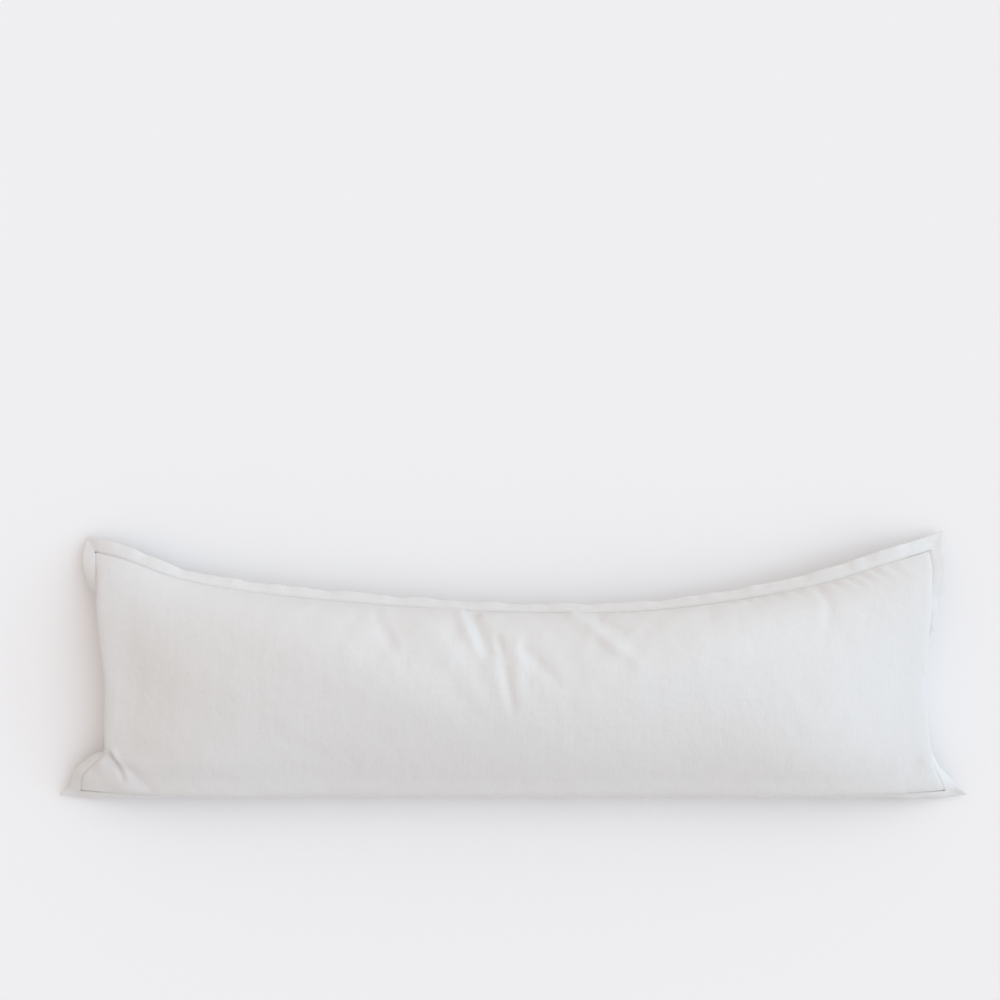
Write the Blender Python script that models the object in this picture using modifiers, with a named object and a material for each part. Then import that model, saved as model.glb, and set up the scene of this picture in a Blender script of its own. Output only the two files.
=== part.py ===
# Long lumbar pillow with a flat stitched flange, lying on its back.
#
# Metres, +Z up. +X runs along the pillow, +Y towards its bowed upper edge and
# +Z out of its face. The origin lies on the floor under the middle of the
# footprint.
#
# Two nodes: the filled body, closed along its stitch line, and the flange, the
# doubled border of cloth that stands out beyond that line all round.

import math
from collections import namedtuple

import bmesh
import bpy
import numpy as np
from mathutils import Vector

INCH = 0.0254

# The cover's flat size inside its stitch line, and the border beyond that line.
SEWN_LENGTH = 48 * INCH
SEWN_WIDTH = 14 * INCH
FLANGE_WIDTH = 0.75 * INCH
FLANGE_THICKNESS = 0.0024
SEAM_THICKNESS = 0.0010
SEAM_GAP = 0.0006

# Heights of the stitch line above the floor, and of the flange's tips.
SEAM_HEIGHT = 0.050
CORNER_HEIGHT = 0.021
TIP_HEIGHT = 0.010

# The face's ends: the cloth that turns up out of the seam, the plan length it
# takes, its swelling past the seam, and how gently the crown then rises.
END_CLOTH = 0.110
END_PLAN = 0.050
END_SWELL = 0.044
END_RISE = 0.115
END_RISE_POWER = 0.8

# The back's edge: the cloth that rolls down from the seam to the floor, and the
# plan width it takes.
BACK_CLOTH = 0.078
BACK_PLAN = 0.040

# Heights under FLAT are pressed to the floor, and folds fade where the face
# stands less than FOLD_FADE above its seam.
FLAT = 0.0002
FOLD_FADE = 0.020

# Cells of the body's face and of the flange.
CELLS_ALONG = 96
CELLS_ACROSS = 28
FLANGE_ROWS = 2

# The stitch line in plan, from left to right and from bottom to top.
Station = namedtuple("Station", "along across")
TOP_SEAM = [
    Station(-0.582, 0.159),
    Station(-0.534, 0.148),
    Station(-0.447, 0.119),
    Station(-0.312, 0.098),
    Station(-0.114, 0.081),
    Station(0.031, 0.075),
    Station(0.177, 0.077),
    Station(0.312, 0.093),
    Station(0.426, 0.116),
    Station(0.510, 0.142),
    Station(0.579, 0.161),
]
LOW_SEAM = [
    Station(-0.602, -0.174),
    Station(-0.312, -0.174),
    Station(0.000, -0.174),
    Station(0.312, -0.174),
    Station(0.600, -0.174),
]
LEFT_SEAM = [
    LOW_SEAM[0],
    Station(-0.596, -0.152),
    Station(-0.582, -0.134),
    Station(-0.563, -0.114),
    Station(-0.550, -0.083),
    Station(-0.545, -0.026),
    Station(-0.551, 0.036),
    Station(-0.564, 0.088),
    Station(-0.575, 0.126),
    TOP_SEAM[0],
]
RIGHT_SEAM = [
    LOW_SEAM[-1],
    Station(0.588, -0.153),
    Station(0.575, -0.130),
    Station(0.563, -0.101),
    Station(0.554, -0.068),
    Station(0.548, -0.016),
    Station(0.554, 0.036),
    Station(0.565, 0.083),
    Station(0.577, 0.125),
    TOP_SEAM[-1],
]

# Where the flange's corner tips lie in plan.
TIPS = {
    "low": Station(-0.636, -0.182),
    "right": Station(0.636, -0.182),
    "top": Station(0.602, 0.189),
    "left": Station(-0.596, 0.179),
}

# How steeply the flange hangs below level, in degrees, at even steps along
# each side, from left to right and from bottom to top.
FLANGE_LEANS = {
    "top": [10, 38, 50, 46, 47, 45, 51, 52, 55, 52, 51, 48, 41, 34, 20, 8, 12],
    "low": [50, 66, 66, 62, 67, 62, 65, 68, 63, 61, 66, 62, 68, 63, 66, 66, 50],
    "left": [18, 58, 76, 78, 76, 74, 74, 70, 58, 26, 8],
    "right": [16, 66, 74, 62, 72, 76, 66, 44, 20, 6, 10],
}

# The face's main folds in plan: a trough where the depth is above zero, and a
# ridge where it is below.
Fold = namedtuple("Fold", "start_x start_y end_x end_y half_width depth")
FOLDS = [
    Fold(-0.062, 0.071, -0.036, 0.030, 0.012, 0.0075),
    Fold(-0.085, 0.070, -0.057, 0.030, 0.015, -0.0022),
    Fold(-0.023, 0.044, -0.003, -0.043, 0.011, 0.0032),
    Fold(0.002, 0.044, 0.017, -0.026, 0.011, -0.0016),
    Fold(0.024, 0.044, 0.050, -0.011, 0.014, 0.0028),
    Fold(0.116, 0.069, 0.149, 0.052, 0.012, 0.0050),
    Fold(0.097, 0.070, 0.168, 0.014, 0.015, -0.0016),
    Fold(-0.183, 0.074, -0.158, 0.038, 0.012, 0.0026),
    Fold(0.420, 0.108, 0.412, 0.043, 0.012, 0.0055),
    Fold(0.466, 0.122, 0.460, 0.088, 0.012, 0.0030),
    Fold(0.505, 0.132, 0.501, 0.103, 0.011, 0.0026),
    Fold(-0.104, 0.018, -0.012, -0.094, 0.021, 0.0018),
    Fold(-0.520, -0.005, -0.250, -0.140, 0.052, 0.0030),
    Fold(-0.552, -0.119, -0.531, -0.148, 0.012, 0.0120),
    Fold(-0.536, -0.131, -0.494, -0.159, 0.015, 0.0035),
    Fold(0.549, -0.128, 0.532, -0.153, 0.014, 0.0060),
]


def clamp(value, low, high):
    return max(low, min(high, value))


def smooth_line(stations, count):
    """Evenly spaced (x, y) points along a smooth curve that runs through every station."""
    points = np.array(stations)
    ahead = np.vstack([2 * points[0] - points[1], points, 2 * points[-1] - points[-2]])
    dense = []
    for p0, p1, p2, p3 in zip(ahead, ahead[1:], ahead[2:], ahead[3:]):
        for q in np.linspace(0, 1, 24, endpoint=False):
            bend = (2 * p0 - 5 * p1 + 4 * p2 - p3) * q**2 + (3 * (p1 - p2) + p3 - p0) * q**3
            dense.append(0.5 * (2 * p1 + (p2 - p0) * q + bend))
    dense.append(points[-1])
    dense = np.array(dense)
    reach = np.concatenate([[0], np.cumsum(np.linalg.norm(np.diff(dense, axis=0), axis=1))])
    even = np.linspace(0, reach[-1], count)
    return np.column_stack([np.interp(even, reach, dense[:, k]) for k in (0, 1)])


class Sides:
    """The four stitch lines, and the plan of the sheet that fills them."""

    def __init__(self, count=241):
        self.top = smooth_line(TOP_SEAM, count)
        self.low = smooth_line(LOW_SEAM, count)
        self.left = smooth_line(LEFT_SEAM, count)
        self.right = smooth_line(RIGHT_SEAM, count)
        self.steps = np.linspace(-1, 1, count)

    def at(self, line, place):
        return np.array([np.interp(place, self.steps, line[:, k]) for k in (0, 1)])

    def plan(self, along, across):
        """Where a place between the sides, each from -1 to 1, lies in plan."""
        u = (along + 1) / 2
        v = (across + 1) / 2
        low = self.at(self.low, along)
        top = self.at(self.top, along)
        left = self.at(self.left, across)
        right = self.at(self.right, across)
        corners = (1 - u) * (1 - v) * self.low[0] + u * (1 - v) * self.low[-1]
        corners += (1 - u) * v * self.top[0] + u * v * self.top[-1]
        return (1 - v) * low + v * top + (1 - u) * left + u * right - corners

    def chord(self, along):
        return np.linalg.norm(self.at(self.top, along) - self.at(self.low, along))


def seam_height(s, t):
    """Height of the stitch line's sheet above the floor: low at the four corners."""
    corner = abs(s) ** 10 * abs(t) ** 5
    return SEAM_HEIGHT - (SEAM_HEIGHT - CORNER_HEIGHT) * corner


def arch_angle(chord):
    """Half the angle of the arc that the cloth's width makes over this chord."""
    low, high = 0.01, math.pi
    for _ in range(40):
        angle = (low + high) / 2
        if math.sin(angle) / angle > chord / SEWN_WIDTH:
            low = angle
        else:
            high = angle
    return angle


def end_plan(cloth):
    """Plan distance in from the end's seam, for a distance in along the face's cloth."""
    turned = clamp(cloth / END_CLOTH, 0, 1)
    return END_PLAN * (1 - math.cos(turned * math.pi / 2)) + max(0.0, cloth - END_CLOTH)


def end_swell(cloth, t):
    """How far the face swells out over the end's seam, most at the middle of the end."""
    turned = clamp(cloth / END_CLOTH, 0, 1)
    return END_SWELL * math.sin(turned * math.pi) * (1 - turned) ** 2 * (1 - t**2) ** 2


def fold_depth(x, y):
    """How deep the face's folds are at a place in plan."""
    depth = 0.0
    for fold in FOLDS:
        start = Vector((fold.start_x, fold.start_y))
        run = Vector((fold.end_x, fold.end_y)) - start
        place = (Vector((x, y)) - start).dot(run) / run.length_squared
        aside = (Vector((x, y)) - start - clamp(place, 0, 1) * run).length
        depth += fold.depth * math.exp(-((aside / fold.half_width) ** 2))
    return depth


def face_point(sides, s, t):
    """A point of the face panel, from its place on the cut, each from -1 to 1."""
    half = SEWN_LENGTH / 2
    cloth = (1 - abs(s)) * half
    drawn = 1 - end_plan(cloth) / end_plan(half)
    along = math.copysign(drawn + (abs(s) - drawn) * t**4, s)
    angle = arch_angle(sides.chord(along))
    across = math.sin(t * angle) / math.sin(angle)
    x, y = sides.plan(along, across)
    x += math.copysign(end_swell(cloth, t), s)
    arch = (math.cos(t * angle) - math.cos(angle)) / math.sin(angle) * sides.chord(along) / 2
    rise = arch * (1 - math.exp(-((cloth / END_RISE) ** END_RISE_POWER)))
    rise -= fold_depth(x, y) * min(1.0, rise / FOLD_FADE)
    return Vector((x, y, seam_height(s, t) + SEAM_THICKNESS / 2 + rise))


def back_edge(cloth, half):
    """How far the back has rolled down to the floor, and its place out from the middle."""
    turned = clamp(cloth / BACK_CLOTH, 0, 1) * math.pi / 2
    flat = (half - BACK_PLAN) * max(0.0, cloth - BACK_CLOTH) / (half - BACK_CLOTH)
    return math.sin(turned), 1 - (BACK_PLAN * (1 - math.cos(turned)) + flat) / half


def back_point(sides, s, t):
    """A point of the back panel, flat where it meets the floor."""
    end_drop, along = back_edge((1 - abs(s)) * SEWN_LENGTH / 2, SEWN_LENGTH / 2)
    side_drop, across = back_edge((1 - abs(t)) * SEWN_WIDTH / 2, SEWN_WIDTH / 2)
    along = math.copysign(along + (abs(s) - along) * t**4, s)
    across = math.copysign(across + (abs(t) - across) * s**4, t)
    x, y = sides.plan(along, across)
    height = (seam_height(s, t) - SEAM_THICKNESS / 2) * (1 - end_drop * side_drop)
    return Vector((x, y, height if height > FLAT else 0.0))


def material(name, colour, roughness):
    made = bpy.data.materials.new(name)
    made.use_nodes = True
    shader = made.node_tree.nodes["Principled BSDF"]
    shader.inputs["Base Color"].default_value = (*colour, 1.0)
    shader.inputs["Roughness"].default_value = roughness
    shader.inputs["Metallic"].default_value = 0.0
    return made


def add_object(name, bm, cloth, collection):
    mesh = bpy.data.meshes.new(name)
    bm.to_mesh(mesh)
    bm.free()
    mesh.shade_smooth()
    mesh.materials.append(cloth)
    obj = bpy.data.objects.new(name, mesh)
    collection.objects.link(obj)
    return obj


def cut_edges(bm, axis, cells):
    """Cuts a cube of side 2 into this many cells along an axis."""
    edges = [e for e in bm.edges if abs(e.verts[0].co[axis] - e.verts[1].co[axis]) > 1]
    bmesh.ops.subdivide_edges(bm, edges=edges, cuts=cells - 1, use_grid_fill=True)


def make_body(sides, cloth, collection):
    """The filled body: a cube cut into cells, shaped into the face and the back."""
    bm = bmesh.new()
    bmesh.ops.create_cube(bm, size=2)
    cut_edges(bm, 0, CELLS_ALONG)
    cut_edges(bm, 1, CELLS_ACROSS)
    for vert in bm.verts:
        point = face_point if vert.co.z > 0 else back_point
        vert.co = point(sides, vert.co.x, vert.co.y)
    grounded = [v for v in bm.verts if v.co.z == 0]
    inside = [e for e in bm.edges if all(f.calc_center_median().z == 0 for f in e.link_faces)]
    bmesh.ops.dissolve_limit(
        bm, angle_limit=math.radians(0.5), use_dissolve_boundaries=False, verts=grounded, edges=inside
    )
    return add_object("pillow_body", bm, cloth, collection)


def flange_lean(side, place):
    leans = FLANGE_LEANS[side]
    at = (place + 1) / 2 * (len(leans) - 1)
    return math.radians(np.interp(at, range(len(leans)), leans))


def stitch_ring(sides):
    """Points once round the stitch line, each with its side and its place along that side."""
    along = [2 * i / CELLS_ALONG - 1 for i in range(CELLS_ALONG)]
    across = [2 * j / CELLS_ACROSS - 1 for j in range(CELLS_ACROSS)]
    runs = [
        ("low", sides.low, [(p, p, -1) for p in along]),
        ("right", sides.right, [(p, 1, p) for p in across]),
        ("top", sides.top, [(-p, -p, 1) for p in along]),
        ("left", sides.left, [(-p, -1, -p) for p in across]),
    ]
    ring = []
    for side, line, places in runs:
        for place, s, t in places:
            ring.append((side, place, Vector((*sides.at(line, place), seam_height(s, t)))))
    return ring


def flange_reaches(ring):
    """Where the flange starts at each point of the stitch line, and its reach from there."""
    starts = []
    reaches = []
    for k, (side, place, point) in enumerate(ring):
        way = (ring[(k + 1) % len(ring)][2] - ring[k - 1][2]).xy.normalized()
        out = Vector((way.y, -way.x, 0))
        lean = flange_lean(side, place)
        start = point + out * (SEAM_GAP + FLANGE_THICKNESS / 2 * math.sin(lean))
        reach = out * math.cos(lean) + Vector((0, 0, -math.sin(lean)))
        reach *= FLANGE_WIDTH
        if side != ring[k - 1][0]:
            reach = Vector((*TIPS[side], TIP_HEIGHT)) - start
        starts.append(start)
        reaches.append(reach)
    return starts, reaches


def make_flange(sides, cloth, collection):
    """The flange: a strip pulled out from the stitch line, then given its thickness."""
    starts, reaches = flange_reaches(stitch_ring(sides))
    bm = bmesh.new()
    circle = bmesh.ops.create_circle(bm, segments=len(starts), radius=1)
    row = sorted(circle["verts"], key=lambda v: math.atan2(v.co.y, v.co.x) % math.tau)
    for vert, start in zip(row, starts):
        vert.co = start
    for _ in range(FLANGE_ROWS):
        loop = [e for e in bm.edges if e.verts[0] in row and e.verts[1] in row]
        pulled = bmesh.ops.extrude_edge_only(bm, edges=loop)["geom"]
        fresh = {v for v in pulled if isinstance(v, bmesh.types.BMVert)}
        row = [e.other_vert(v) for v in row for e in v.link_edges if e.other_vert(v) in fresh]
        for vert, reach in zip(row, reaches):
            vert.co += reach / FLANGE_ROWS
    bmesh.ops.recalc_face_normals(bm, faces=bm.faces)
    obj = add_object("flange", bm, cloth, collection)
    wall = obj.modifiers.new("Doubled cloth", "SOLIDIFY")
    wall.thickness = FLANGE_THICKNESS
    wall.offset = 0


def main():
    for old in list(bpy.data.objects):
        bpy.data.objects.remove(old)
    collection = bpy.data.collections.new("Lumbar pillow")
    bpy.context.scene.collection.children.link(collection)
    cloth = material("White cloth", (0.80, 0.79, 0.77), 0.9)
    sides = Sides()
    make_body(sides, cloth, collection)
    make_flange(sides, cloth, collection)


main()
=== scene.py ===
# %% [markdown]
# # A long lumbar pillow with a stitched flange
#
# The real thing is two panels of washed off-white cloth, laid face to face, sewn
# round, turned out and filled. A second line of stitches, 3/4 in inside the edge,
# holds the filling back, so that a flat border of doubled cloth, the flange,
# stands out all round. The filling pulls the long edges and the ends inwards and
# leaves the corners drawn out.
#
# This lesson dresses a plain solid model of that pillow. The solids arrive as a
# fixed frame. The panels are cut flat and blown up with Blender's cloth
# simulation, the flange and its stitches are built along the same stitch line,
# and the cloth's weave is made with shader nodes.

# %% Load the frame
import math
from collections import namedtuple

import bmesh
import bpy
import numpy as np
from mathutils import Matrix, Vector


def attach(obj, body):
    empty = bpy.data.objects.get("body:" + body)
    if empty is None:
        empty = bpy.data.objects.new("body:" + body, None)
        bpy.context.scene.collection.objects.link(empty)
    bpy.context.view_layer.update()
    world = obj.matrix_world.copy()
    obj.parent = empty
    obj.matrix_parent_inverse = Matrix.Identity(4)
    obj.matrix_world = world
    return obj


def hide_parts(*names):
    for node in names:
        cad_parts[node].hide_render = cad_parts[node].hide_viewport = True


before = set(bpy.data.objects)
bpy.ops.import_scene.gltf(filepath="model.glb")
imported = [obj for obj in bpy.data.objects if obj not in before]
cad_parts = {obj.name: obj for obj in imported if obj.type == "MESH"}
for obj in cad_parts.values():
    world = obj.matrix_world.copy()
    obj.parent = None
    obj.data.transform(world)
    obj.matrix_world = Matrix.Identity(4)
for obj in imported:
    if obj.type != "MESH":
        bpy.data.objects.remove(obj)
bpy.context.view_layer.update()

scene = bpy.context.scene


def add_object(name, data):
    """A new object with this data, linked into the scene."""
    made = bpy.data.objects.new(name, data)
    scene.collection.objects.link(made)
    return made


print("Nodes in the frame:", sorted(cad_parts))

# %% [markdown]
# ## The sizes
#
# Covers like this are sold in inches. The panels are 48 by 14 in inside the stitch
# line, and the flange adds 3/4 in on every side. Everything else follows from where
# the stitch line lies once the pillow is filled.

# %% Name the sizes
INCH = 0.0254
SEWN_LENGTH = 48 * INCH
SEWN_WIDTH = 14 * INCH
HALF_LENGTH = SEWN_LENGTH / 2
HALF_WIDTH = SEWN_WIDTH / 2
FLANGE_WIDTH = 0.75 * INCH
FLANGE_THICKNESS = 0.0024

SEAM_HEIGHT = 0.050
CORNER_HEIGHT = 0.021
TIP_HEIGHT = 0.010

print(f"Sewn area {SEWN_LENGTH:.3f} x {SEWN_WIDTH:.3f} m, flange {FLANGE_WIDTH * 1000:.0f} mm")

# %% [markdown]
# ## The camera
#
# The photograph looks straight down on the pillow's face, with the pillow in the
# lower half of a square frame. So the camera hangs above a point beyond the upper
# edge and looks straight down. Its lens makes one pixel 1.37 mm just below the
# height of the stitch line.

# %% Hang the camera
IMAGE_PIXELS = 1000
PIXEL_SIZE = 0.0013728
CAMERA_PLACE = Vector((-0.0187, 0.230, 2.08))
SCALE_HEIGHT = 0.047
SENSOR = 36

camera_data = bpy.data.cameras.new("Camera")
camera_data.sensor_width = SENSOR
camera_data.lens = SENSOR * (CAMERA_PLACE.z - SCALE_HEIGHT) / (PIXEL_SIZE * IMAGE_PIXELS)
camera = add_object("Camera", camera_data)
camera.location = CAMERA_PLACE
scene.camera = camera
print(f"Lens {camera_data.lens:.1f} mm")

# %% [markdown]
# ## The studio
#
# A plain pale floor, a bright, slightly warm surround and three very wide suns. A
# sun lights the whole floor alike, so no bright patch shows on it, and a wide one
# casts a soft shadow. The strongest one is cool and at the pillow's right, so the
# right end is bright and cool and the left end is dimmer and warm, as in the
# photograph. Each share is the light on a surface that faces the lamp, where a
# white card in full light would have 1.

# %% Light the studio
LAMP_WIDTH = math.radians(95)

Lamp = namedtuple("Lamp", "name turn height share colour")
LAMPS = [
    Lamp("Right lamp", 5, 35, 0.66, (0.59, 0.82, 1.00)),
    Lamp("Upper lamp", 90, 40, 0.20, (1.00, 0.84, 0.72)),
    Lamp("Lower lamp", -90, 40, 0.06, (1.00, 0.50, 0.25)),
]
SURROUND_COLOUR = (1.0, 0.930, 0.880)
SURROUND_STRENGTH = 0.61

for lamp in LAMPS:
    sun = bpy.data.lights.new(lamp.name, "SUN")
    sun.angle = LAMP_WIDTH
    sun.energy = math.pi * lamp.share
    sun.color = lamp.colour
    sun_object = add_object(lamp.name, sun)
    sun_object.rotation_euler = (math.radians(90 - lamp.height), 0, math.radians(lamp.turn + 90))

world = bpy.data.worlds.new("Surround")
world.use_nodes = True
background = world.node_tree.nodes["Background"]
background.inputs["Color"].default_value = (*SURROUND_COLOUR, 1)
background.inputs["Strength"].default_value = SURROUND_STRENGTH
scene.world = world
scene.view_settings.view_transform = "Standard"
print("Lamps:", [lamp.name for lamp in LAMPS])

# %% Lay the floor
FLOOR_SIZE = 60
FLOOR_COLOUR = (0.862, 0.852, 0.858)
FLOOR_ROUGHNESS = 0.95
FLOOR_SHINE = 0.1

floor_bm = bmesh.new()
bmesh.ops.create_grid(floor_bm, x_segments=1, y_segments=1, size=FLOOR_SIZE / 2)
floor_mesh = bpy.data.meshes.new("floor")
floor_bm.to_mesh(floor_mesh)
floor_bm.free()
floor = add_object("floor", floor_mesh)

floor_paint = bpy.data.materials.new("Pale floor")
floor_paint.use_nodes = True
floor_shader = floor_paint.node_tree.nodes["Principled BSDF"]
floor_shader.inputs["Base Color"].default_value = (*FLOOR_COLOUR, 1)
floor_shader.inputs["Roughness"].default_value = FLOOR_ROUGHNESS
floor_shader.inputs["Specular IOR Level"].default_value = FLOOR_SHINE
floor_mesh.materials.append(floor_paint)
print(f"The floor is {FLOOR_SIZE} m wide")

# %% [markdown]
# ## The stitch line
#
# On a filled pillow the stitch line is no longer a rectangle. Its upper side is
# bowed in, its ends are drawn in between the corners, and here the lower side lies
# straight. It is drawn with a few stations a side, and a smooth curve runs
# through them. Its height is the same all round but for the corners, which sink
# towards the floor. Panels, flange and stitches all start from this one line.

# %% List the stations of the stitch line
Station = namedtuple("Station", "along across")
TOP_SEAM = [
    Station(-0.582, 0.159),
    Station(-0.534, 0.148),
    Station(-0.447, 0.119),
    Station(-0.312, 0.098),
    Station(-0.114, 0.081),
    Station(0.031, 0.075),
    Station(0.177, 0.077),
    Station(0.312, 0.093),
    Station(0.426, 0.116),
    Station(0.510, 0.142),
    Station(0.579, 0.161),
]
LOW_SEAM = [
    Station(-0.602, -0.174),
    Station(-0.312, -0.174),
    Station(0.000, -0.174),
    Station(0.312, -0.174),
    Station(0.600, -0.174),
]
LEFT_SEAM = [
    LOW_SEAM[0],
    Station(-0.596, -0.152),
    Station(-0.577, -0.134),
    Station(-0.556, -0.115),
    Station(-0.550, -0.083),
    Station(-0.545, -0.026),
    Station(-0.551, 0.036),
    Station(-0.564, 0.088),
    Station(-0.575, 0.126),
    TOP_SEAM[0],
]
RIGHT_SEAM = [
    LOW_SEAM[-1],
    Station(0.588, -0.153),
    Station(0.575, -0.130),
    Station(0.563, -0.101),
    Station(0.554, -0.068),
    Station(0.548, -0.016),
    Station(0.554, 0.036),
    Station(0.565, 0.083),
    Station(0.577, 0.125),
    TOP_SEAM[-1],
]
print("Stations:", [len(seam) for seam in (TOP_SEAM, LOW_SEAM, LEFT_SEAM, RIGHT_SEAM)])

# %% Draw the stitch line through them
CURVE_STEPS = 24
LINE_STEPS = 481


def smooth_line(stations):
    """Evenly spaced points along a smooth curve that runs through every station."""
    points = np.array(stations)
    ahead = np.vstack([2 * points[0] - points[1], points, 2 * points[-1] - points[-2]])
    dense = []
    for p0, p1, p2, p3 in zip(ahead, ahead[1:], ahead[2:], ahead[3:]):
        for q in np.linspace(0, 1, CURVE_STEPS, endpoint=False):
            bend = (2 * p0 - 5 * p1 + 4 * p2 - p3) * q**2 + (3 * (p1 - p2) + p3 - p0) * q**3
            dense.append(0.5 * (2 * p1 + (p2 - p0) * q + bend))
    dense = np.array([*dense, points[-1]])
    reach = np.concatenate([[0], np.cumsum(np.linalg.norm(np.diff(dense, axis=0), axis=1))])
    even = np.linspace(0, reach[-1], LINE_STEPS)
    return np.column_stack([np.interp(even, reach, dense[:, k]) for k in (0, 1)])


LINES = {
    "low": smooth_line(LOW_SEAM),
    "right": smooth_line(RIGHT_SEAM),
    "top": smooth_line(TOP_SEAM),
    "left": smooth_line(LEFT_SEAM),
}
for side, line in LINES.items():
    print(f"{side} seam: {np.linalg.norm(np.diff(line, axis=0), axis=1).sum():.3f} m")

# %% [markdown]
# A place on the flat cut is given in shares from -1 to 1 along and across it. The
# next helpers say which side such a place on the stitch line belongs to, and where
# it lies once the pillow is filled.

# %% Find places on the stitch line
SINK_ALONG = 10
SINK_ACROSS = 5


def clamp(value, low=0.0, high=1.0):
    """The value, kept between the two limits."""
    return max(low, min(high, value))


def seam_height(s, t):
    """Height of the stitch line above the floor. Only the corners sink."""
    corner = abs(s) ** SINK_ALONG * abs(t) ** SINK_ACROSS
    return SEAM_HEIGHT - (SEAM_HEIGHT - CORNER_HEIGHT) * corner


def side_of(s, t):
    """The side that a place on the stitch line belongs to, and its share along that side."""
    if abs(t) >= abs(s):
        return ("top" if t > 0 else "low"), s
    return ("right" if s > 0 else "left"), t


def on_line(side, share):
    """Where a share of one side of the stitch line lies in plan."""
    steps = np.linspace(-1, 1, LINE_STEPS)
    return [float(np.interp(share, steps, LINES[side][:, k])) for k in (0, 1)]


def stitch_point(s, t):
    """Where a place on the stitch line lies on the filled pillow."""
    side, share = side_of(s, t)
    return Vector((*on_line(side, share), seam_height(s, t)))


print("Upper left corner of the stitch line:", stitch_point(-1, 1))

# %% [markdown]
# ## The filled cover
#
# Two ways to a filled pillow are to model its bulge by hand, or to let a simulation
# find it. Cloth that is filled shortens along its seams and gathers into puckers
# there, which is hard to fake, so this one is simulated. Both panels are cut flat,
# as one closed bag that shares the stitch line. The bag starts a little domed, so
# that air has a side to push on, and two shape keys hold the stitch line flat at
# first and then as it lies in the end.

# %% Cut the two panels
CUT_CELLS = ((192, 56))
START_DOME = 0.012
RIM = 1 - 1e-5
WELD = 1e-4


def on_rim(vert):
    """Whether a point of the square grid lies on what becomes the stitch line."""
    return max(abs(vert.co.x), abs(vert.co.y)) > RIM


def cut_panels():
    """Both panels as one flat bag, with the share along and across of every point."""
    bm = bmesh.new()
    share = bm.verts.layers.float_vector.new("share")
    cut_map = bm.loops.layers.uv.new("Cut")
    bmesh.ops.create_grid(bm, x_segments=CUT_CELLS[0], y_segments=CUT_CELLS[1], size=1)
    for vert in bm.verts:
        vert[share] = Vector((vert.co.x, vert.co.y, 1))
    made = bmesh.ops.duplicate(bm, geom=bm.verts[:] + bm.edges[:] + bm.faces[:])["geom"]
    back_verts = [g for g in made if isinstance(g, bmesh.types.BMVert)]
    back_faces = [g for g in made if isinstance(g, bmesh.types.BMFace)]
    bmesh.ops.reverse_faces(bm, faces=back_faces)
    for vert in back_verts:
        vert[share].z = -1
    rim = [vert for vert in bm.verts if on_rim(vert)]
    bmesh.ops.remove_doubles(bm, verts=rim, dist=WELD)
    for vert in bm.verts:
        if on_rim(vert):
            vert[share].z = 0
    for face in bm.faces:
        for loop in face.loops:
            place = loop.vert[share]
            loop[cut_map].uv = (place.x * HALF_LENGTH, place.y * HALF_WIDTH)
    mesh = bpy.data.meshes.new("cover")
    bm.to_mesh(mesh)
    bm.free()
    return mesh


cover_mesh = cut_panels()
cover = add_object("cover", cover_mesh)
shares = np.array([d.vector for d in cover_mesh.attributes["share"].data])
stitched = int((shares[:, 2] == 0).sum())
print(f"The bag has {len(cover_mesh.vertices)} points, {stitched} of them on its stitch line")

# %% Give the bag its two shapes
def domed_place(s, t, panel):
    """Where a point of the flat bag starts, a little above or below the stitch line."""
    full = math.sqrt(max(0.0, math.cos(s * math.pi / 2))) * math.cos(t * math.pi / 2)
    return s * HALF_LENGTH, t * HALF_WIDTH, SEAM_HEIGHT + panel * START_DOME * full


flat_shape = np.array([domed_place(*place) for place in shares])
lying_shape = flat_shape.copy()
for index, (s, t, panel) in enumerate(shares):
    if panel == 0:
        lying_shape[index] = stitch_point(s, t)

cover_mesh.vertices.foreach_set("co", flat_shape.ravel())
cover.shape_key_add(name="Basis")
lying = cover.shape_key_add(name="Lie")
lying.data.foreach_set("co", lying_shape.ravel())
print("Shape keys:", [key.name for key in cover_mesh.shape_keys.key_blocks])

# %% [markdown]
# The simulation pins the stitch line, draws it in over the first frames and keeps
# the bag under pressure, and a board at floor level pushes its back flat. The back
# panel is shrunk a little, because the weight of the filling keeps it from swelling
# out under the flange. The keyframes, the board and the Cloth modifier are only
# tools: the last frame becomes the mesh, and they are thrown away.

# %% Say how the cloth behaves
FRAMES = 40
CLOTH_QUALITY = 6
CLOTH_MASS = 0.003
PRESSURE = 20
AIR_DAMPING = 2
STRETCH_STIFFNESS = 20
STRETCH_DAMPING = 10
BEND_STIFFNESS = 0.5
BEND_DAMPING = 0.5
PIN_STIFFNESS = 50
CONTACT_GAP = 0.001
BACK_SHRINK = 0.03


def add_group(obj, name, chosen):
    """A vertex group with full weight on the chosen points."""
    group = obj.vertex_groups.new(name=name)
    group.add([int(index) for index in np.flatnonzero(chosen)], 1.0, "REPLACE")


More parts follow.
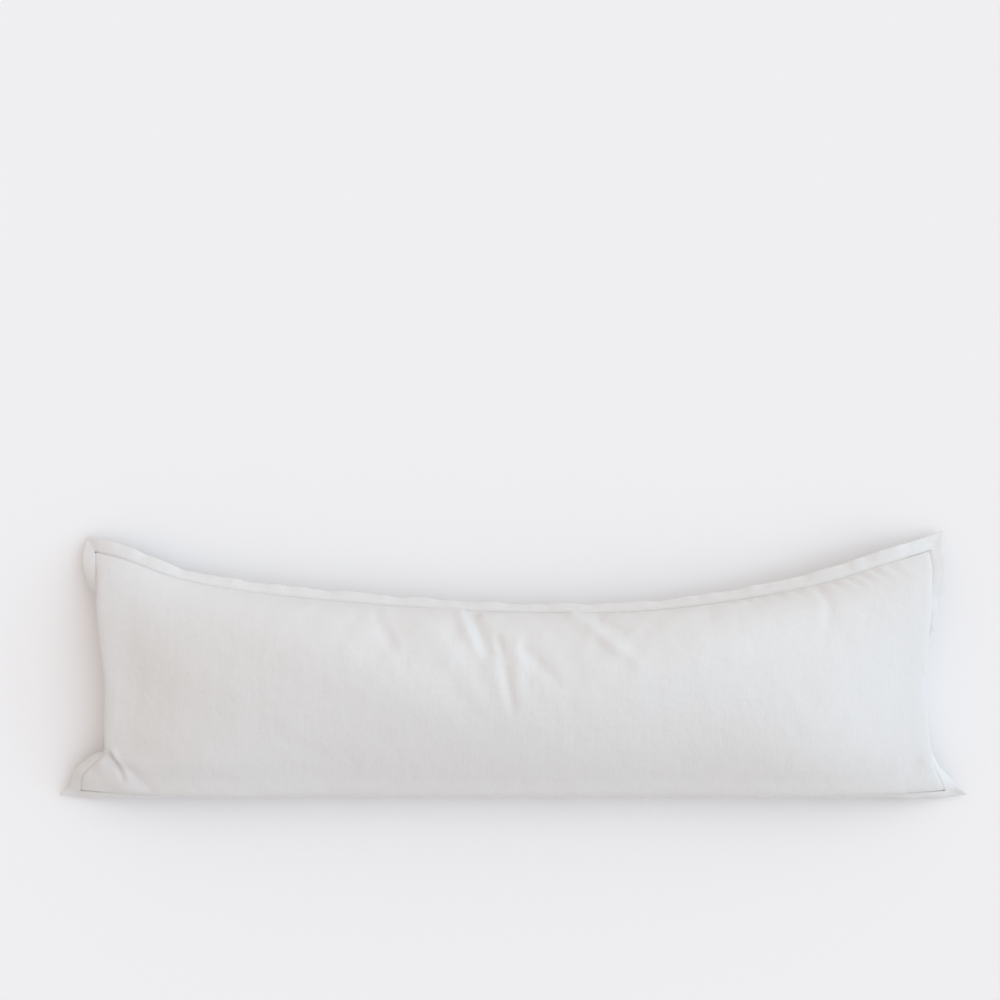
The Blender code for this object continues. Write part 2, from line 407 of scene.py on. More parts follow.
def add_cloth(obj):
    """Makes the bag a cloth that is pinned at its stitch line and blown up."""
    add_group(obj, "stitched", shares[:, 2] == 0)
    add_group(obj, "filled", shares[:, 2] != 0)
    add_group(obj, "back", shares[:, 2] < 0)
    cloth = obj.modifiers.new("Cloth", "CLOTH")
    cloth.point_cache.frame_end = FRAMES
    settings = cloth.settings
    settings.quality = CLOTH_QUALITY
    settings.mass = CLOTH_MASS
    settings.air_damping = AIR_DAMPING
    settings.tension_stiffness = STRETCH_STIFFNESS
    settings.compression_stiffness = STRETCH_STIFFNESS
    settings.shear_stiffness = STRETCH_STIFFNESS / 3
    settings.bending_stiffness = BEND_STIFFNESS
    settings.tension_damping = STRETCH_DAMPING
    settings.compression_damping = STRETCH_DAMPING
    settings.shear_damping = STRETCH_DAMPING / 2
    settings.bending_damping = BEND_DAMPING
    settings.vertex_group_mass = "stitched"
    settings.pin_stiffness = PIN_STIFFNESS
    settings.use_pressure = True
    settings.uniform_pressure_force = PRESSURE
    settings.vertex_group_pressure = "filled"
    settings.vertex_group_shrink = "back"
    settings.shrink_max = BACK_SHRINK
    settings.use_dynamic_mesh = False
    cloth.collision_settings.use_self_collision = False
    cloth.collision_settings.distance_min = CONTACT_GAP


print(f"Stiffness: {STRETCH_STIFFNESS} against stretching, {BEND_STIFFNESS} against bending")

# %% Fill the bag
DRAWN_IN = 15
BOARD_SIZE = 14


def fill_bag(obj):
    """Simulates the filling and returns the last frame as a plain mesh."""
    lying.value = 0
    lying.keyframe_insert("value", frame=1)
    lying.value = 1
    lying.keyframe_insert("value", frame=DRAWN_IN)
    add_cloth(obj)
    board = add_object("board", floor_mesh.copy())
    board.location.z = -2 * CONTACT_GAP
    board.scale = (BOARD_SIZE / FLOOR_SIZE, BOARD_SIZE / FLOOR_SIZE, 1)
    board.modifiers.new("Collision", "COLLISION")
    board.collision.thickness_outer = CONTACT_GAP
    scene.frame_end = FRAMES
    for number in range(1, FRAMES + 1):
        scene.frame_set(number)
    seen = obj.evaluated_get(bpy.context.evaluated_depsgraph_get())
    filled = bpy.data.meshes.new_from_object(seen)
    bpy.data.objects.remove(board)
    return filled


filled_mesh = fill_bag(cover)
filled_mesh.name = "cover"
bpy.data.objects.remove(cover)
scene.frame_set(1)
heights = [vert.co.z for vert in filled_mesh.vertices]
print(f"The filled bag stands {min(heights):.4f} to {max(heights):.4f} m high")

# %% [markdown]
# Air pushes the spare cloth of each end into one sharp fold, where a soft filling
# rolls it over smoothly, and it blows the back out under the flange, where the
# floor presses it flat. So both are worked out instead: the cloth of an end
# turns up out of its seam, swells out over it and then rises to the crown, and
# across the pillow the face is the arc that the panel's width makes between the two
# long seams. The left end swells a little more towards the upper corner. The back
# rolls down from the seam to the floor.

# %% Find places and arcs between the four sides
SMALLEST_ANGLE = 0.01
HALVINGS = 30


def plan_point(along, across):
    """Where a place between the four sides, each share from -1 to 1, lies in plan."""
    u, v = (along + 1) / 2, (across + 1) / 2
    low, top, left, right = (
        Vector(on_line(side, share))
        for side, share in (("low", along), ("top", along), ("left", across), ("right", across))
    )
    near_left = Vector(on_line("low", -1)) * (1 - v) + Vector(on_line("top", -1)) * v
    near_right = Vector(on_line("low", 1)) * (1 - v) + Vector(on_line("top", 1)) * v
    return low * (1 - v) + top * v + (left - near_left) * (1 - u) + (right - near_right) * u


def arch_angle(chord):
    """Half the angle of the arc that the panel's width makes over this chord."""
    low, high = SMALLEST_ANGLE, math.pi
    for _ in range(HALVINGS):
        angle = (low + high) / 2
        if math.sin(angle) / angle > chord / SEWN_WIDTH:
            low = angle
        else:
            high = angle
    return angle


print("The middle of the pillow in plan:", plan_point(0, 0))

# %% Form the face
END_CLOTH = 0.110
END_PLAN = 0.050
END_SWELL = 0.044
FULLER_LEFT = 0.8
END_RISE = 0.115
END_RISE_POWER = 0.8


def end_plan(cloth):
    """Plan distance in from the end's seam, for a distance in along the cloth."""
    turned = clamp(cloth / END_CLOTH)
    return END_PLAN * (1 - math.cos(turned * math.pi / 2)) + max(0.0, cloth - END_CLOTH)


def face_form(s, t):
    """A point of the filled face, from its share along and across the cut."""
    cloth = (1 - abs(s)) * HALF_LENGTH
    drawn = 1 - end_plan(cloth) / end_plan(HALF_LENGTH)
    along = math.copysign(drawn + (abs(s) - drawn) * t**4, s)
    chord = (Vector(on_line("top", along)) - Vector(on_line("low", along))).length
    angle = arch_angle(chord)
    place = plan_point(along, math.sin(t * angle) / math.sin(angle))
    turned = clamp(cloth / END_CLOTH)
    swell = END_SWELL * math.sin(turned * math.pi) * (1 - turned) ** 2 * (1 - t**2) ** 2
    if s < 0:
        swell *= 1 + FULLER_LEFT * max(0.0, t)
    arch = (math.cos(t * angle) - math.cos(angle)) / math.sin(angle) * chord / 2
    rise = arch * (1 - math.exp(-((cloth / END_RISE) ** END_RISE_POWER)))
    return Vector((place.x + math.copysign(swell, s), place.y, seam_height(s, t) + rise))


print("Near the middle of the left end:", face_form(-0.93, 0))

# %% Form the back
BACK_CLOTH = 0.078
BACK_PLAN = 0.040


def rolled_down(cloth, half):
    """How far the back has rolled down to the floor, and its place out from the middle."""
    turned = clamp(cloth / BACK_CLOTH) * math.pi / 2
    flat = (half - BACK_PLAN) * max(0.0, cloth - BACK_CLOTH) / (half - BACK_CLOTH)
    return math.sin(turned), 1 - (BACK_PLAN * (1 - math.cos(turned)) + flat) / half


def back_form(s, t):
    """A point of the back, flat where it lies on the floor."""
    end_drop, along = rolled_down((1 - abs(s)) * HALF_LENGTH, HALF_LENGTH)
    side_drop, across = rolled_down((1 - abs(t)) * HALF_WIDTH, HALF_WIDTH)
    along = math.copysign(along + (abs(s) - along) * t**4, s)
    across = math.copysign(across + (abs(t) - across) * s**4, t)
    place = plan_point(along, across)
    return Vector((place.x, place.y, seam_height(s, t) * (1 - end_drop * side_drop)))


print("The middle of the back:", back_form(0, 0))

# %% [markdown]
# The simulated cloth is eased with a few rounds of smoothing first, because washed
# cloth holds fewer small wrinkles than the simulation leaves. Then each point moves
# towards the form: not at all in the middle of the face, wholly at the ends, and
# nearly wholly on the back.

# %% Ease the cloth over its filling
EASE_ROUNDS = 5
EASE_FACTOR = 0.5
END_STARTS = 0.35
END_FULL = 0.86
BACK_PULL = 0.85


def ease_over_form(mesh):
    """Smooths the simulated cloth and moves it towards the form of the ends and the back."""
    bm = bmesh.new()
    bm.from_mesh(mesh)
    share = bm.verts.layers.float_vector["share"]
    free = [vert for vert in bm.verts if vert[share].z != 0]
    every_way = {"use_axis_x": True, "use_axis_y": True, "use_axis_z": True}
    for _ in range(EASE_ROUNDS):
        bmesh.ops.smooth_vert(bm, verts=free, factor=EASE_FACTOR, **every_way)
    for vert in free:
        s, t, panel = vert[share]
        pull = clamp((abs(s) - END_STARTS) / (END_FULL - END_STARTS))
        pull = pull * pull * (3 - 2 * pull)
        if panel > 0:
            vert.co = vert.co.lerp(face_form(s, t), pull)
        else:
            vert.co = vert.co.lerp(back_form(s, t), max(BACK_PULL, pull))
    bm.to_mesh(mesh)
    bm.free()


ease_over_form(filled_mesh)
print(f"Eased: {max(vert.co.z for vert in filled_mesh.vertices):.4f} m high")

# %% Finish the mesh
SMOOTH_LEVELS = 1


def subdivided(mesh, levels):
    """The mesh with smooth subdivisions made real, its stitch line kept sharp."""
    bm = bmesh.new()
    bm.from_mesh(mesh)
    share = bm.verts.layers.float_vector["share"]
    crease = bm.edges.layers.float.new("crease_edge")
    for edge in bm.edges:
        if all(v[share].z == 0 for v in edge.verts):
            edge[crease] = 1.0
    bm.to_mesh(mesh)
    bm.free()
    carrier = add_object("carrier", mesh)
    smooth = carrier.modifiers.new("Subdivision", "SUBSURF")
    smooth.levels = levels
    smooth.render_levels = levels
    seen = carrier.evaluated_get(bpy.context.evaluated_depsgraph_get())
    finer = bpy.data.meshes.new_from_object(seen)
    bpy.data.objects.remove(carrier)
    return finer


fine_mesh = subdivided(filled_mesh, SMOOTH_LEVELS)
cover = add_object("cover", fine_mesh)
fine_mesh.shade_smooth()
print(f"The cover has {len(fine_mesh.polygons)} faces")

# %% [markdown]
# The simulation puckers the cloth, but not where the real one is creased. So the
# photograph's own folds are pressed in, as soft troughs and ridges on the
# face: a row for each gives its two ends in plan, its half width and its depth, with
# a minus for a ridge. A fold is deepest near its start and dies away past its end. A
# run of small gathers follows along the upper seam's right end, and the face is
# pulled out into a soft lip over its lower seam.

# %% List the folds
Fold = namedtuple("Fold", "start_x start_y end_x end_y half_width depth")
FOLDS = [
    Fold(-0.054, 0.075, -0.036, 0.030, 0.0080, 0.0055),
    Fold(-0.072, 0.074, -0.045, 0.032, 0.0080, -0.0036),
    Fold(-0.110, 0.066, -0.075, 0.030, 0.0260, -0.0042),
    Fold(-0.021, 0.049, -0.014, 0.022, 0.0055, 0.0028),
    Fold(-0.012, 0.008, -0.001, -0.046, 0.0060, 0.0026),
    Fold(-0.026, 0.030, -0.021, -0.024, 0.0070, -0.0006),
    Fold(0.003, 0.040, 0.009, -0.030, 0.0085, -0.0016),
    Fold(0.014, 0.034, 0.056, -0.008, 0.0090, 0.0026),
    Fold(0.116, 0.071, 0.146, 0.056, 0.0070, 0.0040),
    Fold(0.079, 0.074, 0.161, 0.019, 0.0080, -0.0044),
    Fold(-0.172, 0.076, -0.148, 0.038, 0.0080, -0.0020),
    Fold(-0.183, 0.074, -0.160, 0.036, 0.0080, 0.0018),
    Fold(0.415, 0.108, 0.427, 0.088, 0.0060, 0.0018),
    Fold(0.427, 0.090, 0.412, 0.040, 0.0080, 0.0018),
    Fold(-0.104, 0.018, -0.012, -0.094, 0.0200, 0.0018),
    Fold(-0.520, -0.005, -0.250, -0.140, 0.0450, 0.0030),
    Fold(-0.560, -0.117, -0.551, -0.117, 0.0045, 0.0035),
    Fold(-0.551, -0.118, -0.533, -0.149, 0.0042, 0.0054),
    Fold(-0.557, -0.124, -0.540, -0.152, 0.0090, 0.0022),
    Fold(-0.545, -0.114, -0.526, -0.144, 0.0050, -0.0022),
    Fold(-0.576, -0.144, -0.550, -0.158, 0.0150, 0.0030),
    Fold(-0.536, -0.131, -0.494, -0.159, 0.0080, 0.0028),
    Fold(0.549, -0.128, 0.532, -0.153, 0.0100, 0.0020),
]
print(f"{len(FOLDS)} folds, {sum(fold.depth < 0 for fold in FOLDS)} of them ridges")

# %% Say how deep the folds are
FOLD_FULL = 0.4
FOLD_GONE = 1.35
FOLD_REACH = 3


def fold_depth(place):
    """How deep the folds are at a place in plan."""
    depth = 0.0
    for fold in FOLDS:
        start = Vector((fold.start_x, fold.start_y))
        run = Vector((fold.end_x, fold.end_y)) - start
        share = (place - start).dot(run) / run.length_squared
        aside = (place - start - clamp(share) * run).length
        life = clamp((FOLD_GONE - share) / (FOLD_GONE - FOLD_FULL))
        if aside < FOLD_REACH * fold.half_width:
            depth += fold.depth * life * math.exp(-((aside / fold.half_width) ** 2))
    return depth


start = Vector((FOLDS[0].start_x, FOLDS[0].start_y))
print(f"The folds are {fold_depth(start) * 1000:.1f} mm deep where the first one starts")

# %% Say how deep the gathers are and how far the lip stands out
GATHER_FIRST, GATHER_LAST = 0.42, 0.93
GATHER_GROWS, GATHER_DIES = 0.1, 0.05
GATHER_PITCH = 0.026
GATHER_WANDER = ((0.35, 9.1), (0.25, 23.7))
GATHER_LENGTH = 0.024
GATHER_DEPTH = 0.0013
LIP_REACH = 0.050
LIP_OUT = 0.012
LIP_END = 0.95
LIP_FADE = 0.08


def gather_depth(s, t):
    """The small gathers along the upper seam's right end, uneven in width and depth."""
    from_seam = (1 - t) * HALF_WIDTH
    along = clamp((s - GATHER_FIRST) / GATHER_GROWS) * clamp((GATHER_LAST - s) / GATHER_DIES)
    turn = s * HALF_LENGTH / GATHER_PITCH
    for size, rate in GATHER_WANDER:
        turn += size * math.sin(rate * s)
    fade = math.exp(-((from_seam / GATHER_LENGTH) ** 2))
    return GATHER_DEPTH * along * fade * math.sin(math.tau * turn)


def lip(s, t):
    """How far the face swells out over its lower seam."""
    from_seam = (1 + t) * HALF_WIDTH
    along = clamp((LIP_END - abs(s)) / LIP_FADE)
    reach = clamp(from_seam / LIP_REACH)
    return LIP_OUT * along * math.sin(math.pi * reach) * (1 - reach)


print(f"The lip stands out by {lip(0, -0.9) * 1000:.1f} mm near the lower seam")

# %% Press them in
SEAM_CALM = 0.006


def press_folds(mesh):
    """Presses the folds and gathers into the face and pulls the lip out over the seam."""
    bm = bmesh.new()
    bm.from_mesh(mesh)
    share = bm.verts.layers.float_vector["share"]
    bm.normal_update()
    moves = []
    for vert in bm.verts:
        s, t, panel = vert[share]
        if panel > 0:
            calm = clamp((1 - max(abs(s), abs(t))) * HALF_WIDTH / SEAM_CALM)
            depth = fold_depth(vert.co.xy) + gather_depth(s, t)
            out = Vector((0, -lip(s, t), 0))
            moves.append((vert, vert.normal * (-depth * calm) + out))
    for vert, move in moves:
        vert.co += move
    for vert in bm.verts:
        vert.co.z = max(vert.co.z, 0.0)
    bm.to_mesh(mesh)
    bm.free()
    return max(move.length for _, move in moves)


farthest = press_folds(fine_mesh)
print(f"No point of the face has moved more than {farthest * 1000:.1f} mm")

# %% [markdown]
# ## The flange
#
# The flange is the cover's own border, cut in one with the panels, so it is cut
# flat here too: a rectangular frame of 1/8 in squares around the sewn area. Each
# point is then carried to where it hangs. A point on the stitch line is tucked in a
# little, so that the flange's inner edge hides in the seam. A point beside it goes
# out from it and down, by a lean in degrees that changes along each side. A point in
# a corner square goes to its share between the stitch line's corner, the two sides'
# ends and the corner's tip, with a shallow crease to the tip. A simulation would let
# the flange droop more evenly than the real one.

# %% Say how steeply the flange hangs
FLANGE_LEANS = {
    "top": [10, 38, 50, 46, 47, 45, 51, 52, 55, 52, 51, 48, 41, 34, 20, 8, 12],
    "low": [50, 66, 72, 73, 75, 72, 74, 76, 73, 71, 74, 72, 76, 72, 70, 66, 50],
    "left": [18, 50, 70, 78, 76, 74, 74, 70, 58, 26, 8],
    "right": [16, 66, 74, 62, 72, 76, 52, 14, 20, 6, 10],
}

Wave = namedtuple("Wave", "length height start")
WAVES = [Wave(0.097, 4.0, 0.3), Wave(0.053, 3.0, 1.9), Wave(0.031, 2.0, 4.1)]
WAVE_FADE = 0.03


def lean_at(side, share):
    """How steeply the flange hangs at a place along a side, in radians."""
    leans = FLANGE_LEANS[side]
    half = HALF_LENGTH if side in ("top", "low") else HALF_WIDTH
    lean = np.interp((share + 1) / 2 * (len(leans) - 1), range(len(leans)), leans)
    calm = clamp((1 - abs(share)) * half / WAVE_FADE)
    ripple = sum(w.height * math.sin(math.tau * share * half / w.length + w.start) for w in WAVES)
    return math.radians(lean + calm * ripple)


print(f"The lower side leans {math.degrees(lean_at('low', 0)):.0f} degrees at its middle")

# %% Hang a point beside the stitch line
CURL = 0.3
TUCK = 0.0015
NEARBY = 0.004
TINY = 1e-6


def hang(side, share, out):
    """Where a point hangs that lies this far outside one side of the stitch line."""
    s, t = {"top": (share, 1), "low": (share, -1), "left": (-1, share), "right": (1, share)}[side]
    before = Vector(on_line(side, max(-1, share - NEARBY)))
    after = Vector(on_line(side, min(1, share + NEARBY)))
    along = (after - before).normalized()
    turn = -1 if side in ("top", "left") else 1
    outward = Vector((along.y, -along.x, 0)) * turn
    place = stitch_point(s, t)
    if out < TINY:
        return place - outward * TUCK
    lean = lean_at(side, share) * (1 - CURL + CURL * out / FLANGE_WIDTH)
    return place + outward * (out * math.cos(lean)) - Vector((0, 0, out * math.sin(lean)))


print("The flange's edge below the pillow's middle:", hang("low", 0, FLANGE_WIDTH))

# %% Carry a point of the cut to where the flange hangs
TIPS = {
    (-1, -1): Station(-0.636, -0.182),
    (1, -1): Station(0.636, -0.182),
    (1, 1): Station(0.602, 0.189),
    (-1, 1): Station(-0.596, 0.179),
}
MITRE_DEPTH = 0.0018
MITRE_WIDTH = 0.22


def flange_point(x, y):
    """Where a point of the flat cut lies, when it is outside the sewn area."""
    beyond_x = max(0.0, abs(x) - HALF_LENGTH)
    beyond_y = max(0.0, abs(y) - HALF_WIDTH)
    s = clamp(x / HALF_LENGTH, -1, 1)
    t = clamp(y / HALF_WIDTH, -1, 1)
    across_side = "top" if y > 0 else "low"
    along_side = "right" if x > 0 else "left"
    on_end = abs(x) > HALF_LENGTH - TINY
    on_long_side = abs(y) > HALF_WIDTH - TINY
    if max(beyond_x, beyond_y) < TINY and on_end and on_long_side:
        return hang(along_side, t, 0) + hang(across_side, s, 0) - stitch_point(s, t)
    if beyond_y < TINY and on_end:
        return hang(along_side, t, beyond_x)
    if beyond_x < TINY:
        return hang(across_side, s, beyond_y)
    a = beyond_x / FLANGE_WIDTH
    b = beyond_y / FLANGE_WIDTH
    tip = Vector((*TIPS[int(s), int(t)], TIP_HEIGHT))
    place = stitch_point(s, t) * ((1 - a) * (1 - b)) + tip * (a * b)
    place += hang(along_side, t, FLANGE_WIDTH) * (a * (1 - b))
    place += hang(across_side, s, FLANGE_WIDTH) * (b * (1 - a))
    crease = MITRE_DEPTH * math.exp(-(((a - b) / MITRE_WIDTH) ** 2))
    place.z -= crease * math.sin(math.pi * (a + b) / 2)
    return place


corner = flange_point(-HALF_LENGTH - FLANGE_WIDTH, HALF_WIDTH + FLANGE_WIDTH)
print("The flange's upper left tip:", corner)

# %% Cut and hang the flange
CELL = INCH / 8
SEWN_THIN = 0.4
THICKENS_OVER = 0.004


def make_flange():
    """The flat frame of cloth, carried to where it hangs and doubled."""
    bm = bmesh.new()
    cut_map = bm.loops.layers.uv.new("Cut")
    weight = bm.verts.layers.deform.verify()
    cells_x = round(2 * (HALF_LENGTH + FLANGE_WIDTH) / CELL)
    cells_y = round(2 * (HALF_WIDTH + FLANGE_WIDTH) / CELL)
    stretch = Matrix.Diagonal((cells_x * CELL / 2, cells_y * CELL / 2, 1, 1))
    bmesh.ops.create_grid(bm, x_segments=cells_x, y_segments=cells_y, size=1, matrix=stretch)
    sewn = []
    for face in bm.faces:
        middle = face.calc_center_median()
        if abs(middle.x) < HALF_LENGTH and abs(middle.y) < HALF_WIDTH:
            sewn.append(face)
    bmesh.ops.delete(bm, geom=sewn, context="FACES")
    for face in bm.faces:
        for loop in face.loops:
            loop[cut_map].uv = loop.vert.co.xy
    for vert in bm.verts:
        x, y = round(vert.co.x / CELL) * CELL, round(vert.co.y / CELL) * CELL
        out = max(abs(x) - HALF_LENGTH, abs(y) - HALF_WIDTH)
        vert[weight][0] = SEWN_THIN + (1 - SEWN_THIN) * clamp(out / THICKENS_OVER)
        vert.co = flange_point(x, y)
    mesh = bpy.data.meshes.new("flange_cloth")
    bm.to_mesh(mesh)
    bm.free()
    mesh.shade_smooth()
    flange = add_object("flange_cloth", mesh)
    flange.vertex_groups.new(name="thickness")
    doubled = flange.modifiers.new("Doubled cloth", "SOLIDIFY")
    doubled.thickness = FLANGE_THICKNESS
    doubled.offset = 0
    doubled.vertex_group = "thickness"
    rounded = flange.modifiers.new("Rounded edge", "SUBSURF")
    rounded.levels = 1
    rounded.render_levels = 1
    return flange


flange = make_flange()
print(f"The flange has {len(flange.data.polygons)} squares")

# %% [markdown]
# ## The stitches
#
# The stitch line is a run of short thread lengths, eight to the inch, that lie in
# a shallow valley between the filling and the flange. A row of dashes painted on
# would stay flat up close. One stitch is a small stretched ball, and it is copied
# along the line, once on the upper side and once below.

# %% Lay out the stitches
STITCH_OUT = 0.0010


def stitch_places():
    """The middle and the direction of each stitch, on the flat cut."""
    places = []
    for k in range(round(SEWN_LENGTH / CELL)):
        x = (k + 0.5) * CELL - HALF_LENGTH
        places.append((Vector((x, HALF_WIDTH + STITCH_OUT)), Vector((1, 0))))
        places.append((Vector((x, -HALF_WIDTH - STITCH_OUT)), Vector((1, 0))))
    for k in range(round(SEWN_WIDTH / CELL)):
        y = (k + 0.5) * CELL - HALF_WIDTH
        places.append((Vector((HALF_LENGTH + STITCH_OUT, y)), Vector((0, 1))))
        places.append((Vector((-HALF_LENGTH - STITCH_OUT, y)), Vector((0, 1))))
    return places


print(f"{len(stitch_places())} stitches on each face")

# %% Make one stitch
STITCH_LENGTH = 0.0025
STITCH_THICKNESS = 0.0005
STITCH_SIDES = 6


def one_stitch():
    """A small ball, stretched along x to the length of a stitch."""
    bm = bmesh.new()
    size = Matrix.Diagonal((STITCH_LENGTH / 2, STITCH_THICKNESS / 2, STITCH_THICKNESS / 2, 1))
    sides = {"u_segments": STITCH_SIDES, "v_segments": STITCH_SIDES}
    bmesh.ops.create_uvsphere(bm, radius=1, matrix=size, **sides)
    mesh = bpy.data.meshes.new("stitch")
    bm.to_mesh(mesh)
    bm.free()
    return mesh


stitch = one_stitch()
print(f"One stitch has {len(stitch.polygons)} faces")

# %% Sew the stitch line
STITCH_LIFT = 0.6
STITCH_RISE = SEWN_THIN * FLANGE_THICKNESS / 2 + STITCH_THICKNESS * STITCH_LIFT


def run_of_flange(middle, step):
    """How the hung flange runs at a place of the flat cut, over a step to each side."""
    return flange_point(*(middle + step)) - flange_point(*(middle - step))


def sew(name, face):
    """All the stitches seen on one face of the cover: 1 above, -1 below."""
    bm = bmesh.new()
    for middle, way in stitch_places():
        aside = Vector((-way.y, way.x))
        along = run_of_flange(middle, way * (CELL / 4)).normalized()
        across = run_of_flange(middle, aside * STITCH_OUT / 2)
        up = along.cross(across).normalized() * face
        turn = Matrix((along, up.cross(along), up)).transposed().to_4x4()
        centre = flange_point(*middle) + up * STITCH_RISE
        copy = stitch.copy()
        copy.transform(Matrix.Translation(centre) @ turn)
        bm.from_mesh(copy)
        bpy.data.meshes.remove(copy)
    mesh = bpy.data.meshes.new(name)
    bm.to_mesh(mesh)
    bm.free()
    mesh.shade_smooth()
    return add_object(name, mesh)


upper_stitches = sew("stitches_above", 1)
lower_stitches = sew("stitches_below", -1)
for piece in (upper_stitches, lower_stitches):
    print(f"{piece.name}: {len(piece.data.polygons)} faces")

# %% [markdown]
# ## The cloth
#
# The cloth is a plain weave of uneven yarns: one thread over, one under, with
# thicker lengths of yarn, slubs, that show as faint streaks, and a soft crumple
# from washing. An image would fix its scale and repeat. Nodes make it from the
# cut's own map, which is in metres, so the threads run straight with the panels
# and on into the flange.

# %% Prepare short ways to add shader nodes


def add_math(tree, operation, *values):
    """A Math node, with each input either a number or another node's output."""
    node = tree.nodes.new("ShaderNodeMath")
    node.operation = operation
    for socket, value in zip(node.inputs, values):
        if isinstance(value, (int, float)):
            socket.default_value = value
        else:
            tree.links.new(value, socket)
    return node.outputs[0]


def add_noise(tree, vector, scale, detail, stretch=(1, 1, 1)):
    """A Noise texture on a stretched copy of the coordinates, from 0 to 1."""
    mapping = tree.nodes.new("ShaderNodeMapping")
    mapping.inputs["Scale"].default_value = stretch
    tree.links.new(vector, mapping.inputs["Vector"])
    texture = tree.nodes.new("ShaderNodeTexNoise")
    texture.inputs["Scale"].default_value = scale
    texture.inputs["Detail"].default_value = detail
    tree.links.new(mapping.outputs[0], texture.inputs["Vector"])
    return texture.outputs["Fac"]


def add_sum(tree, total, *others):
    """The sum of several outputs, added from left to right."""
    for other in others:
        total = add_math(tree, "ADD", total, other)
    return total


print("Three helpers: one step of arithmetic, a noise and a sum")

# %% Build the weave as a node group
THREAD_PITCH = 0.0006
WANDER_SCALES = (90, 110)
WANDER_TURNS = 1.4

Slub = namedtuple("Slub", "share stretch detail")
SLUBS = [
    Slub(0.45, (420, 14, 1), 2),
    Slub(0.30, (11, 380, 1), 2),
    Slub(0.25, (1500, 60, 1), 1),
]


def weave_group():
    """Height and slub mask of a plain weave, from a map in metres."""
    tree = bpy.data.node_groups.new("Plain weave", "ShaderNodeTree")
    tree.interface.new_socket("Cut", in_out="INPUT", socket_type="NodeSocketVector")
    tree.interface.new_socket("Pitch", in_out="INPUT", socket_type="NodeSocketFloat")
    tree.interface.new_socket("Threads", in_out="OUTPUT", socket_type="NodeSocketFloat")
    tree.interface.new_socket("Slubs", in_out="OUTPUT", socket_type="NodeSocketFloat")
    inside = tree.nodes.new("NodeGroupInput")
    result = tree.nodes.new("NodeGroupOutput")
    cut = inside.outputs["Cut"]
    split = tree.nodes.new("ShaderNodeSeparateXYZ")
    tree.links.new(cut, split.inputs[0])
    waves = []
    for axis, scale in enumerate(WANDER_SCALES):
        wander = add_math(tree, "MULTIPLY", add_noise(tree, cut, scale, 1), WANDER_TURNS)
        turns = add_math(tree, "DIVIDE", split.outputs[axis], inside.outputs["Pitch"])
        turns = add_math(tree, "ADD", turns, wander)
        waves.append(add_math(tree, "SINE", add_math(tree, "MULTIPLY", turns, math.pi)))
    over = add_math(tree, "MULTIPLY", waves[0], waves[1])
    heights = []
    for wave, sign in zip(waves, (0.5, -0.5)):
        side = add_math(tree, "ADD", add_math(tree, "MULTIPLY", over, sign), 0.5)
        heights.append(add_math(tree, "MULTIPLY", add_math(tree, "ABSOLUTE", wave), side))
    tree.links.new(add_math(tree, "MAXIMUM", *heights), result.inputs["Threads"])
    streaks = []
    for slub in SLUBS:
        streak = add_noise(tree, cut, 1, slub.detail, slub.stretch)
        streaks.append(add_math(tree, "MULTIPLY", streak, slub.share))
    tree.links.new(add_sum(tree, *streaks), result.inputs["Slubs"])
    return tree


weave = weave_group()
print("Weave group:", [socket.name for socket in weave.interface.items_tree])

# %% [markdown]
# The group gives two masks, and the material turns them into relief and tint.
# Threads stand about 0.1 mm high, slubs a little more, and the crumple about a
# millimetre, but over a few centimetres, so it is the softest. Colour changes by
# only a few per cent, since the yarn is all one shade: slubs show a little lighter,
# and the gaps between threads are darker with painted shade.

# %% Make the cloth material
CLOTH_LIGHT = (0.762, 0.757, 0.758)
CLOTH_DARK = (0.706, 0.695, 0.688)
CLOTH_ROUGHNESS = 0.92
CLOTH_SHINE = 0.25
CLOTH_SHEEN = 0.12
SHEEN_ROUGHNESS = 0.5
SLUB_TINT = 1.1
# Painted shade: by this share of the threads mask, the gaps between threads are painted darker
# and the thread tops lighter.
THREAD_GAP_SHADE = 0.35
TINT_FROM = 0.25
THREAD_RELIEF = 0.00010
SLUB_RELIEF = 0.00030
CRUMPLE_RELIEF = 0.0022
CRUMPLE_SCALE = 34
CRUMPLE_STRETCH = (1, 0.8, 1)


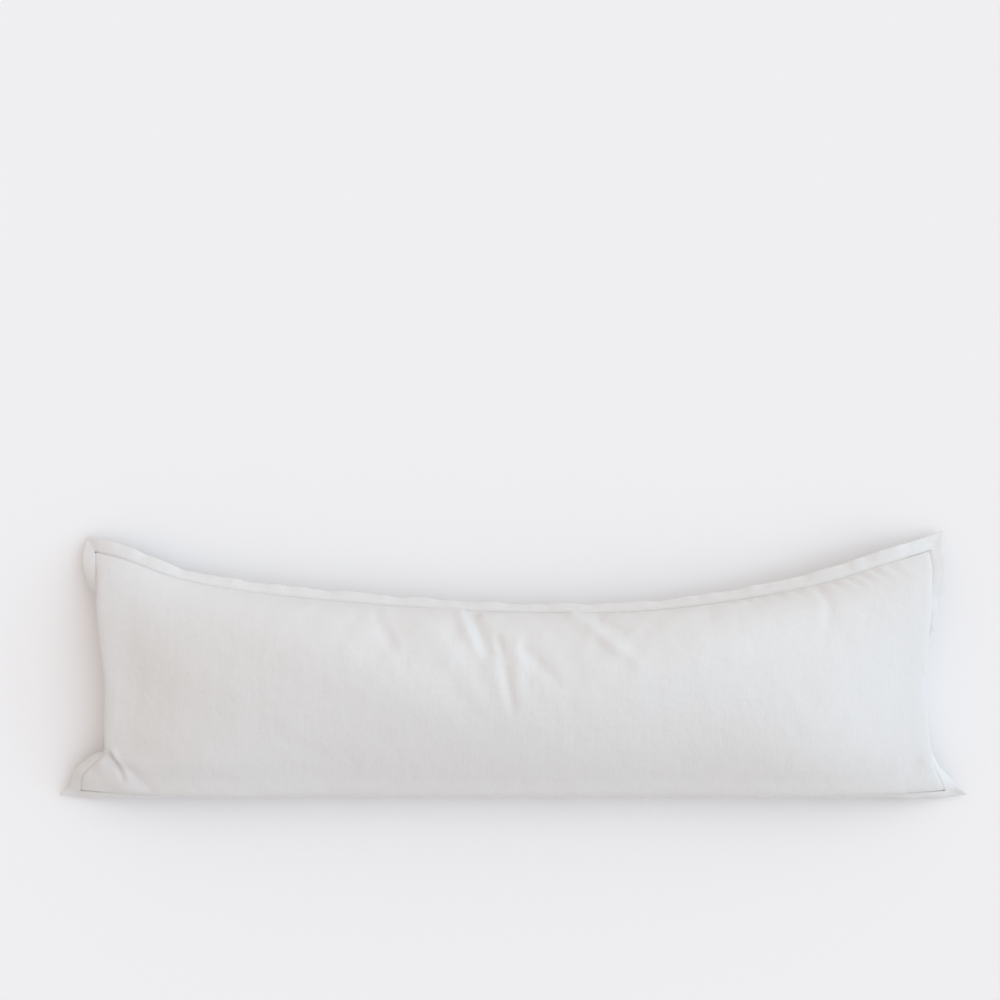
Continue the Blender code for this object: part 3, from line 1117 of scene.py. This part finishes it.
def cloth_material(name):
    """The washed weave, which takes its threads from the map of the flat cut."""
    made = bpy.data.materials.new(name)
    made.use_nodes = True
    tree = made.node_tree
    shader = tree.nodes["Principled BSDF"]
    shader.inputs["Roughness"].default_value = CLOTH_ROUGHNESS
    shader.inputs["Specular IOR Level"].default_value = CLOTH_SHINE
    shader.inputs["Sheen Weight"].default_value = CLOTH_SHEEN
    shader.inputs["Sheen Roughness"].default_value = SHEEN_ROUGHNESS
    cut_map = tree.nodes.new("ShaderNodeUVMap")
    cut_map.uv_map = "Cut"
    group = tree.nodes.new("ShaderNodeGroup")
    group.node_tree = weave
    group.inputs["Pitch"].default_value = THREAD_PITCH
    tree.links.new(cut_map.outputs[0], group.inputs["Cut"])
    threads, slubs = group.outputs["Threads"], group.outputs["Slubs"]
    slub_tint = add_math(tree, "MULTIPLY", slubs, SLUB_TINT)
    # Painted shade between the threads, mixed into the colour together with the slubs' own tone.
    thread_gap_shade = add_math(tree, "MULTIPLY", threads, THREAD_GAP_SHADE)
    shade = add_math(tree, "SUBTRACT", add_sum(tree, slub_tint, thread_gap_shade), TINT_FROM)
    tint = tree.nodes.new("ShaderNodeMix")
    tint.data_type = "RGBA"
    tint.inputs["A"].default_value = (*CLOTH_DARK, 1)
    tint.inputs["B"].default_value = (*CLOTH_LIGHT, 1)
    tree.links.new(shade, tint.inputs["Factor"])
    tree.links.new(tint.outputs["Result"], shader.inputs["Base Color"])
    body = tree.nodes.new("ShaderNodeTexCoord").outputs["Object"]
    crumple = add_noise(tree, body, CRUMPLE_SCALE, 3, CRUMPLE_STRETCH)
    thread_height = add_math(tree, "MULTIPLY", threads, THREAD_RELIEF)
    slub_height = add_math(tree, "MULTIPLY", slubs, SLUB_RELIEF)
    crumple_height = add_math(tree, "MULTIPLY", crumple, CRUMPLE_RELIEF)
    height = add_sum(tree, thread_height, slub_height, crumple_height)
    bump = tree.nodes.new("ShaderNodeBump")
    bump.inputs["Strength"].default_value = 1
    bump.inputs["Distance"].default_value = 1
    tree.links.new(height, bump.inputs["Height"])
    tree.links.new(bump.outputs[0], shader.inputs["Normal"])
    return made


cloth = cloth_material("Washed cloth")
for piece in (cover, flange):
    piece.data.materials.clear()
    piece.data.materials.append(cloth)
print("Material:", cloth.name)

# %% Make the thread material
# Painted shade: both thread colours are a little darker than the cloth, standing for the shade
# along the stitch line; their warmer tint is the thread's own colour.
THREAD_LIGHT = (0.76, 0.745, 0.72)
THREAD_DARK = (0.69, 0.665, 0.63)
THREAD_ROUGHNESS = 0.7
THREAD_MOTTLE = 2500


def thread_material(name):
    """Thread a little darker and warmer than the cloth, a little uneven: warm in its own colour,
    and darker as painted shade of the stitch groove.
    """
    made = bpy.data.materials.new(name)
    made.use_nodes = True
    tree = made.node_tree
    shader = tree.nodes["Principled BSDF"]
    shader.inputs["Roughness"].default_value = THREAD_ROUGHNESS
    body = tree.nodes.new("ShaderNodeTexCoord").outputs["Object"]
    tint = tree.nodes.new("ShaderNodeMix")
    tint.data_type = "RGBA"
    tint.inputs["A"].default_value = (*THREAD_DARK, 1)
    tint.inputs["B"].default_value = (*THREAD_LIGHT, 1)
    tree.links.new(add_noise(tree, body, THREAD_MOTTLE, 1), tint.inputs["Factor"])
    tree.links.new(tint.outputs["Result"], shader.inputs["Base Color"])
    return made


thread = thread_material("Sewing thread")
for piece in (upper_stitches, lower_stitches):
    piece.data.materials.clear()
    piece.data.materials.append(thread)
print("Material:", thread.name)

# %% [markdown]
# ## The pieces on the frame
#
# Each piece is tied to the frame's one body, and the solid body and solid flange are hidden. The
# filled cover shows in place of the solid body and the flange in place of the solid flange, and
# the stitches sit along the flange's inner edge.

# %% Tie the pieces to the frame
for piece in (cover, flange, upper_stitches, lower_stitches):
    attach(piece, "root")
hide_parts("pillow_body")
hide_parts("flange")
